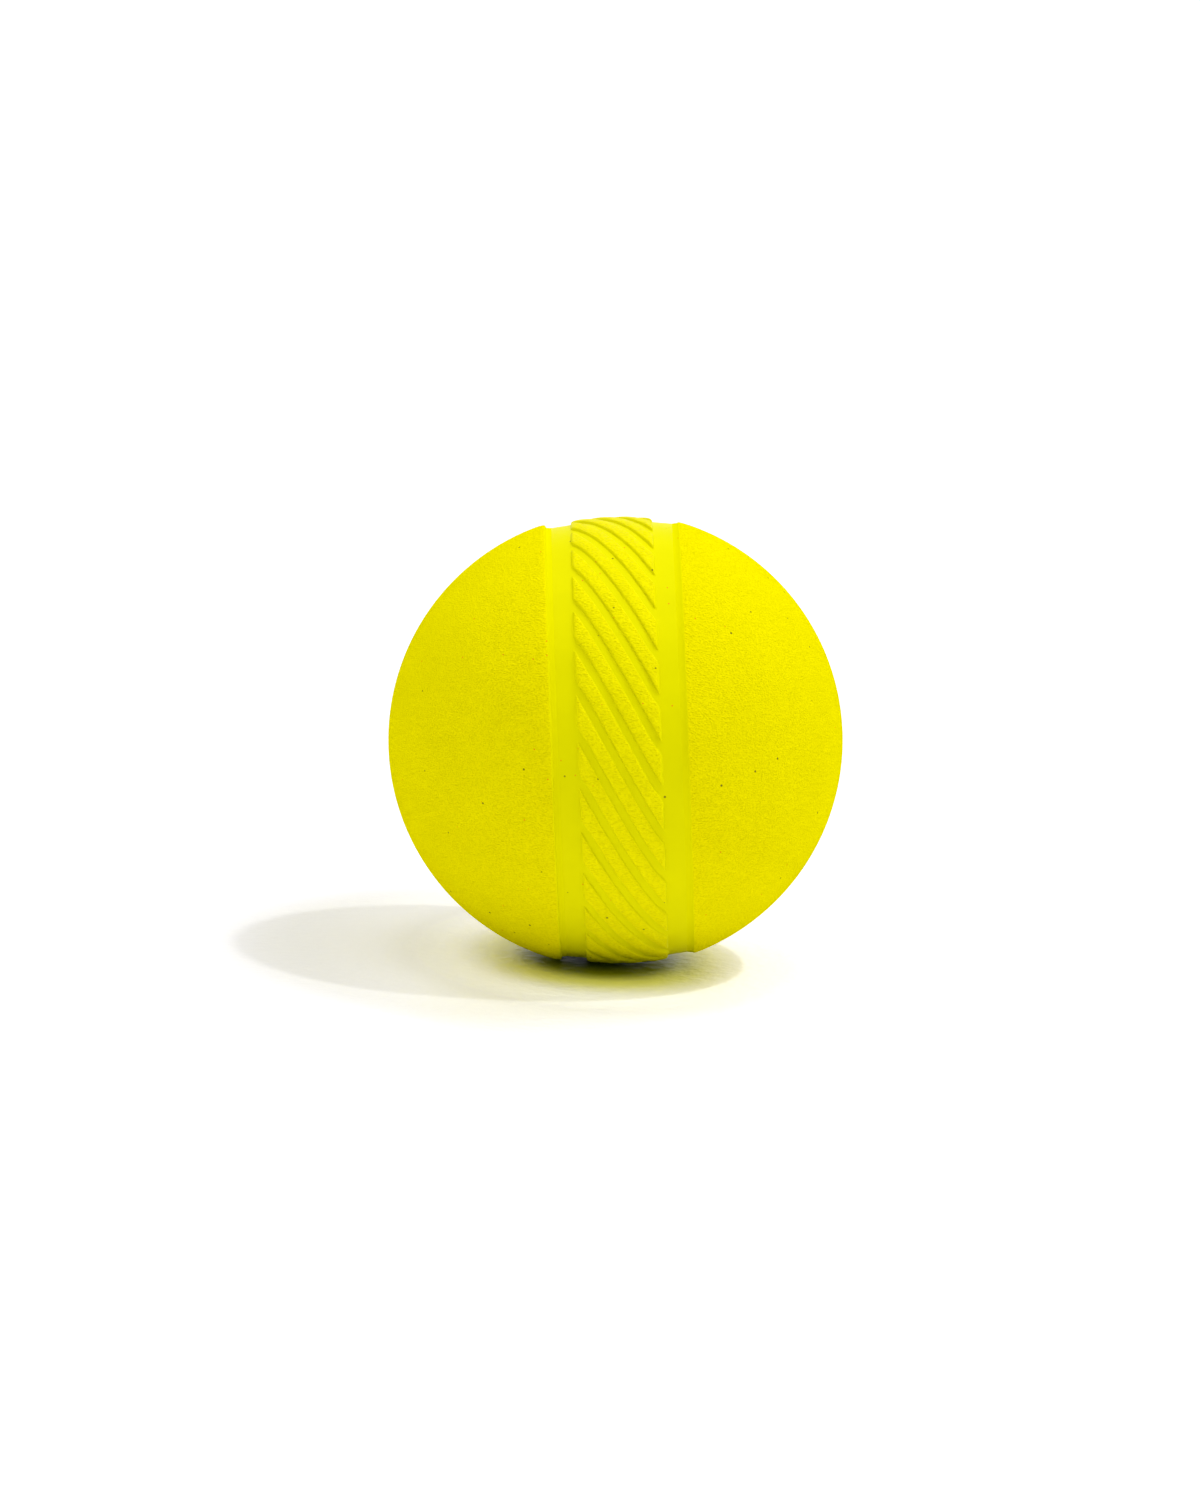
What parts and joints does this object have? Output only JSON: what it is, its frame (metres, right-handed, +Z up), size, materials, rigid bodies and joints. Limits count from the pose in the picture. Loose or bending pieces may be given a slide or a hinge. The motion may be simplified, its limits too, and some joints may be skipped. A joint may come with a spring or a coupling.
{
  "type": "foam cricket ball",
  "caption": "Round soft foam cricket ball with plain grainy cheeks and a moulded seam band of slanted ribs between smooth channels, for safe practice and play.",
  "frame": {"origin": "centre of the ball", "axes": "+X along the ball's axis, out of the middle of the right cheek; +Z up from the flat that the ball rests on; the seam band runs round X"},
  "size_m": [0.072, 0.0708, 0.0704],
  "materials": {
    "cheek_foam": "matte fine-grained closed-cell foam skin, neon yellow with sparse tiny specks",
    "band_foam": "smooth satin foam on the belt and fine grain on the ribs, neon yellow",
    "core_foam": "cut open-faced foam, pale yellow, not seen from outside"
  },
  "bodies": {
    "root": {"foam_core": "core_foam", "left_cheek": "cheek_foam", "right_cheek": "cheek_foam", "seam_band": "band_foam"}
  },
  "joints": []
}
